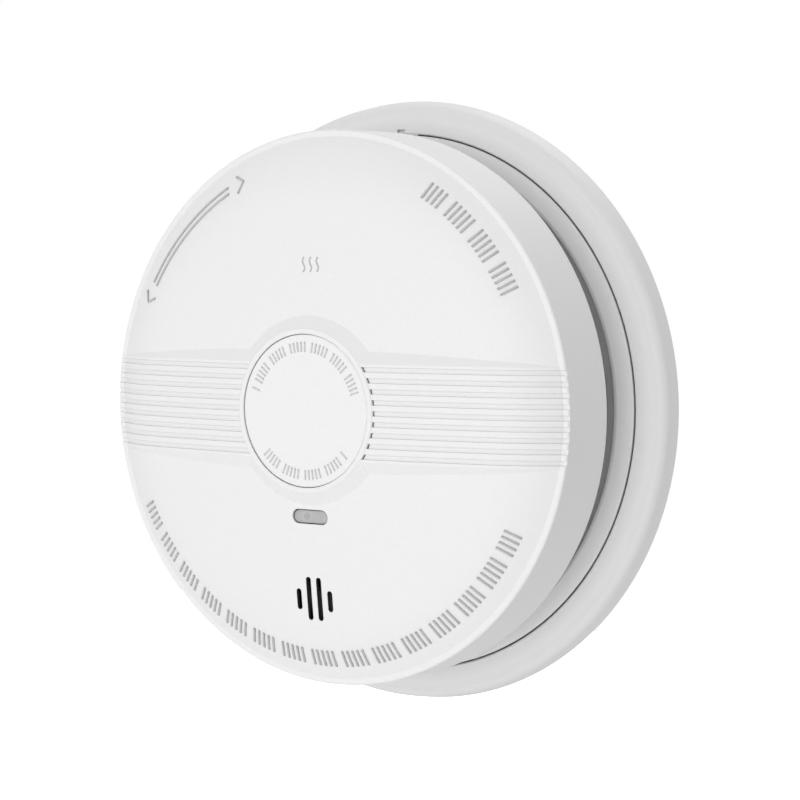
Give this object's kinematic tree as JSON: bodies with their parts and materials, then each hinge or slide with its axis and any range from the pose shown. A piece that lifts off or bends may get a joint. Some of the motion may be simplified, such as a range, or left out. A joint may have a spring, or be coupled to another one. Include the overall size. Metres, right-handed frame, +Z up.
{
  "type": "smoke detector",
  "caption": "Round battery smoke alarm with a ribbed domed cover and a central test button, twist-locked on a round wall plate.",
  "frame": {"origin": "centre of the mounting plate's back face, on the wall", "axes": "+Z up with the alarm on a wall, the face looks along -Y, the ribs run along X, +Y points into the wall"},
  "size_m": [0.1414, 0.0438, 0.1414],
  "materials": {
    "plate_plastic": "fine spark texture",
    "cover_plastic": "fine spark texture",
    "button_plastic": "fine spark texture",
    "housing_plastic": "fine spark texture",
    "lens_plastic": "clear, moulded",
    "black_plastic": "matt black",
    "board": "green lacquer",
    "chip_plastic": "moulded",
    "can_sleeve": "printed-free sleeve",
    "led_red": "tinted epoxy",
    "optic_epoxy": "infrared-pass epoxy",
    "horn_plastic": "moulded",
    "brass": "rolled",
    "piezo": "silvered",
    "screen_steel": "etched",
    "cell_wrap": "plain wrap",
    "contact_steel": "nickel plated",
    "wire": "insulation",
    "screw_steel": "zinc plated"
  },
  "bodies": {
    "wall_plate": {"mounting_plate": "plate_plastic"},
    "alarm_body": {"rear_housing": "housing_plastic", "front_cover": "cover_plastic", "switch_body": "black_plastic", "circuit_board": "board", "control_chip": "chip_plastic", "capacitors": "can_sleeve", "booster_coil": "chip_plastic", "status_led": "led_red", "light_pipe": "lens_plastic", "sounder_horn": "horn_plastic", "sounder_disc": "brass", "sounder_ceramic": "piezo", "chamber_base": "black_plastic", "chamber_cap": "black_plastic", "insect_screen": "screen_steel", "infrared_led": "optic_epoxy", "photodiode": "optic_epoxy", "battery_cells": "cell_wrap", "battery_contacts": "contact_steel", "battery_leads": "wire", "battery_door": "housing_plastic", "cover_screws": "screw_steel", "board_screws": "screw_steel"},
    "test_button": {"test_button": "button_plastic"},
    "switch_plunger": {"switch_plunger": "horn_plastic"}
  },
  "joints": [
    {"name": "twist_off", "type": "hinge", "parent": "wall_plate", "child": "alarm_body", "pos_m": [0, 0, 0], "axis": [0, -1, 0], "range_deg": [0, 15]},
    {"name": "button_press", "type": "slide", "parent": "alarm_body", "child": "test_button", "axis": [0, 1, 0], "range_m": [0, 0.001]},
    {"name": "switch_press", "type": "slide", "parent": "alarm_body", "child": "switch_plunger", "axis": [0, 1, 0], "range_m": [0, 0.001]}
  ],
  "couplings": [
    {"joint": "switch_press", "follows": "button_press", "ratio": 1}
  ]
}
